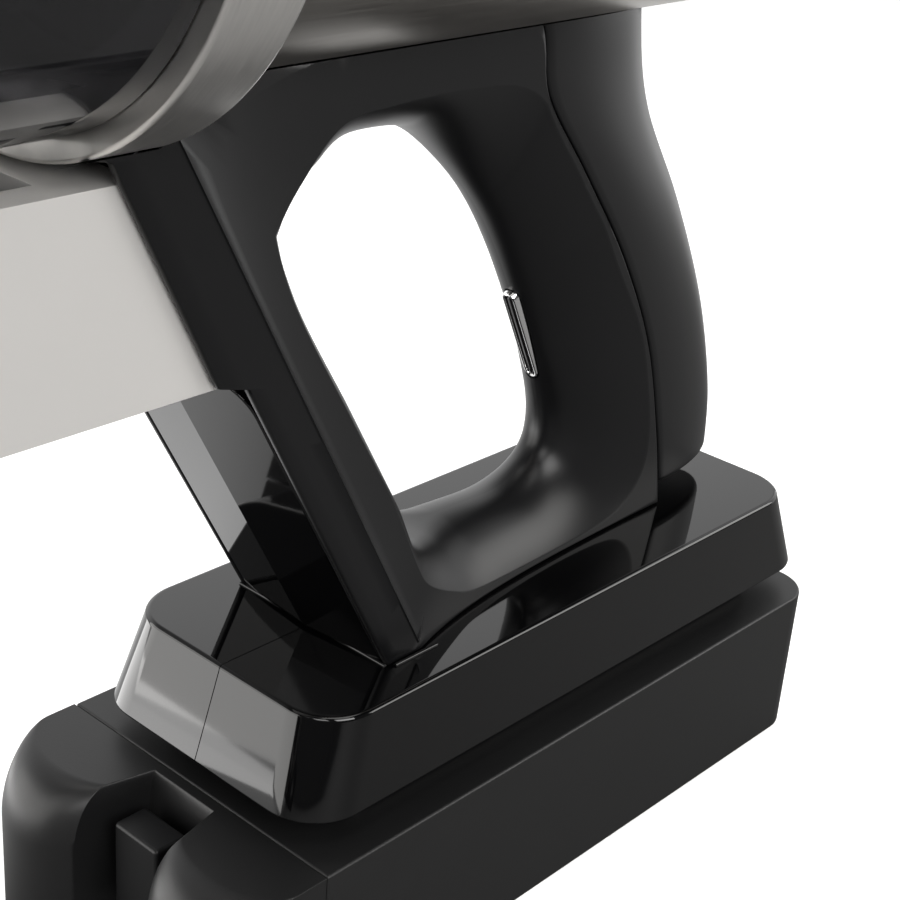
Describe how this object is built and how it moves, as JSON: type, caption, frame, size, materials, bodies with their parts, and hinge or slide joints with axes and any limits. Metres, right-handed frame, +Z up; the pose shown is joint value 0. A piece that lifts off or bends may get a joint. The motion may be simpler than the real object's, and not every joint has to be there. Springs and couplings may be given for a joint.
{
  "type": "cordless stick vacuum",
  "caption": "Cordless stick vacuum: handheld body with D-handle on a slide-off battery, wand and powered floor head.",
  "frame": {"origin": "centre of the battery's flat underside, on the floor", "axes": "+X forward to the floor head, +Y to the vacuum's left, +Z up"},
  "size_m": [1.0187, 0.25, 0.2659],
  "materials": {
    "shell_metal": "brushed",
    "satin_black": "satin",
    "gloss_black": "polished",
    "matte_black": "matte",
    "silver_plastic": "satin",
    "wand_metal": "satin anodised",
    "smoked_clear": "polished, smoked",
    "chrome": "polished",
    "steel": "brushed",
    "motor_case": "machined",
    "rubber": "matte",
    "filter_felt": "felt",
    "circuit_board": "lacquered",
    "cell_wrap": "shrink-wrapped",
    "bristle": "short pile"
  },
  "bodies": {
    "handheld": {"motor_shell": "shell_metal", "front_ring": "shell_metal", "motor_mount": "rubber", "fan_motor": "motor_case", "pre_filter": "filter_felt", "handle_frame": "satin_black", "grip_rear_cover": "satin_black", "strut_front_panel": "gloss_black", "trigger_bezel": "chrome", "foot_shell_left": "gloss_black", "foot_shell_right": "gloss_black", "control_board": "circuit_board", "battery_rail": "matte_black", "inlet_duct": "silver_plastic", "nozzle_collar": "satin_black"},
    "trigger": {"trigger_button": "satin_black"},
    "power_switch": {"power_button": "satin_black"},
    "fan": {"impeller": "silver_plastic", "motor_shaft": "steel"},
    "exhaust": {"exhaust_cover": "satin_black", "exhaust_filter": "filter_felt"},
    "battery": {"battery_case": "matte_black", "battery_base_cover": "matte_black", "battery_front_cap": "matte_black", "battery_board": "circuit_board", "charge_socket": "satin_black", "battery_cell_1": "cell_wrap", "battery_cell_2": "cell_wrap", "battery_cell_3": "cell_wrap", "battery_cell_4": "cell_wrap", "battery_cell_5": "cell_wrap", "battery_cell_6": "cell_wrap", "battery_cell_7": "cell_wrap"},
    "battery_release": {"battery_release_button": "satin_black"},
    "bin": {"dust_bin": "smoked_clear", "cyclone_shroud": "steel", "cyclone_cone": "matte_black", "bin_hinge_pin": "steel"},
    "bin_lid": {"bin_door": "smoked_clear", "bin_door_seal": "rubber"},
    "latch": {"bin_latch": "satin_black"},
    "wand_release": {"wand_release_button": "silver_plastic"},
    "wand": {"wand_tube": "wand_metal", "wand_top_collar": "satin_black", "wand_bottom_collar": "satin_black"},
    "head_release": {"head_release_button": "silver_plastic"},
    "neck": {"neck_pipe": "satin_black"},
    "elbow": {"neck_elbow": "satin_black"},
    "head": {"head_housing": "gloss_black", "sole_plate": "matte_black", "belt_cover": "gloss_black", "head_end_cap": "gloss_black", "brush_motor": "motor_case", "drive_belt": "rubber"},
    "brush": {"brush_roll": "bristle"},
    "motor_pulley": {"drive_pulley": "steel"},
    "wheel_left": {"rear_wheel_left": "rubber"},
    "wheel_right": {"rear_wheel_right": "rubber"},
    "roller_left": {"front_roller_left": "rubber"},
    "roller_right": {"front_roller_right": "rubber"}
  },
  "joints": [
    {"name": "trigger_press", "type": "slide", "parent": "handheld", "child": "trigger", "axis": [-0.8879, 0, 0.46], "range_m": [0, 0.001], "stiffness_N_per_m": 600},
    {"name": "power_press", "type": "slide", "parent": "handheld", "child": "power_switch", "axis": [0, 0, -1], "range_m": [0, 0.0012], "stiffness_N_per_m": 600},
    {"name": "fan_spin", "type": "hinge", "parent": "handheld", "child": "fan", "pos_m": [0.06, 0, 0.2116], "axis": [1, 0, 0], "continuous": true},
    {"name": "exhaust_pull", "type": "slide", "parent": "handheld", "child": "exhaust", "axis": [-1, 0, 0], "range_m": [0, 0.045]},
    {"name": "battery_slide", "type": "slide", "parent": "handheld", "child": "battery", "axis": [1, 0, 0], "range_m": [0, 0.135]},
    {"name": "battery_release_press", "type": "slide", "parent": "battery", "child": "battery_release", "axis": [-1, 0, 0], "range_m": [0, 0.0022], "stiffness_N_per_m": 800},
    {"name": "bin_pull", "type": "slide", "parent": "handheld", "child": "bin", "axis": [1, 0, 0], "range_m": [0, 0.09]},
    {"name": "bin_door_open", "type": "hinge", "parent": "bin", "child": "bin_lid", "pos_m": [0.2145, 0, 0.1576], "axis": [0, 1, 0], "range_deg": [0, 85]},
    {"name": "latch_press", "type": "hinge", "parent": "bin", "child": "latch", "pos_m": [0.2, 0, 0.2637], "axis": [0, -1, 0], "range_deg": [0, 6], "stiffness_Nm_per_rad": 0.4},
    {"name": "wand_release_press", "type": "slide", "parent": "handheld", "child": "wand_release", "axis": [0, -1, 0], "range_m": [0, 0.0012], "stiffness_N_per_m": 600},
    {"name": "wand_pull", "type": "slide", "parent": "handheld", "child": "wand", "axis": [0.989, 0, -0.1482], "range_m": [0, 0.06]},
    {"name": "head_release_press", "type": "slide", "parent": "wand", "child": "head_release", "axis": [-0.1482, 0, -0.989], "range_m": [0, 0.0013], "stiffness_N_per_m": 600},
    {"name": "head_pull", "type": "slide", "parent": "wand", "child": "neck", "axis": [0.989, 0, -0.1482], "range_m": [0, 0.05]},
    {"name": "neck_swivel", "type": "hinge", "parent": "neck", "child": "elbow", "pos_m": [0.81458, 0, 0.04089], "axis": [0.989, 0, -0.1482], "range_deg": [-70, 70]},
    {"name": "head_pitch", "type": "hinge", "parent": "elbow", "child": "head", "pos_m": [0.84721, 0, 0.036], "axis": [0, 1, 0], "range_deg": [-80, 5]},
    {"name": "brush_spin", "type": "hinge", "parent": "head", "child": "brush", "pos_m": [0.90921, 0, 0.027], "axis": [0, 1, 0], "continuous": true},
    {"name": "motor_pulley_spin", "type": "hinge", "parent": "head", "child": "motor_pulley", "pos_m": [0.86921, 0, 0.021], "axis": [0, 1, 0], "continuous": true},
    {"name": "wheel_left_spin", "type": "hinge", "parent": "head", "child": "wheel_left", "pos_m": [0.83721, 0.0455, 0.018], "axis": [0, 1, 0], "continuous": true},
    {"name": "wheel_right_spin", "type": "hinge", "parent": "head", "child": "wheel_right", "pos_m": [0.83721, -0.0455, 0.018], "axis": [0, 1, 0], "continuous": true},
    {"name": "roller_left_spin", "type": "hinge", "parent": "head", "child": "roller_left", "pos_m": [0.92721, 0.12, 0.0065], "axis": [0, 1, 0], "continuous": true},
    {"name": "roller_right_spin", "type": "hinge", "parent": "head", "child": "roller_right", "pos_m": [0.92721, -0.12, 0.0065], "axis": [0, 1, 0], "continuous": true}
  ],
  "couplings": [
    {"joint": "motor_pulley_spin", "follows": "brush_spin", "ratio": 2}
  ]
}
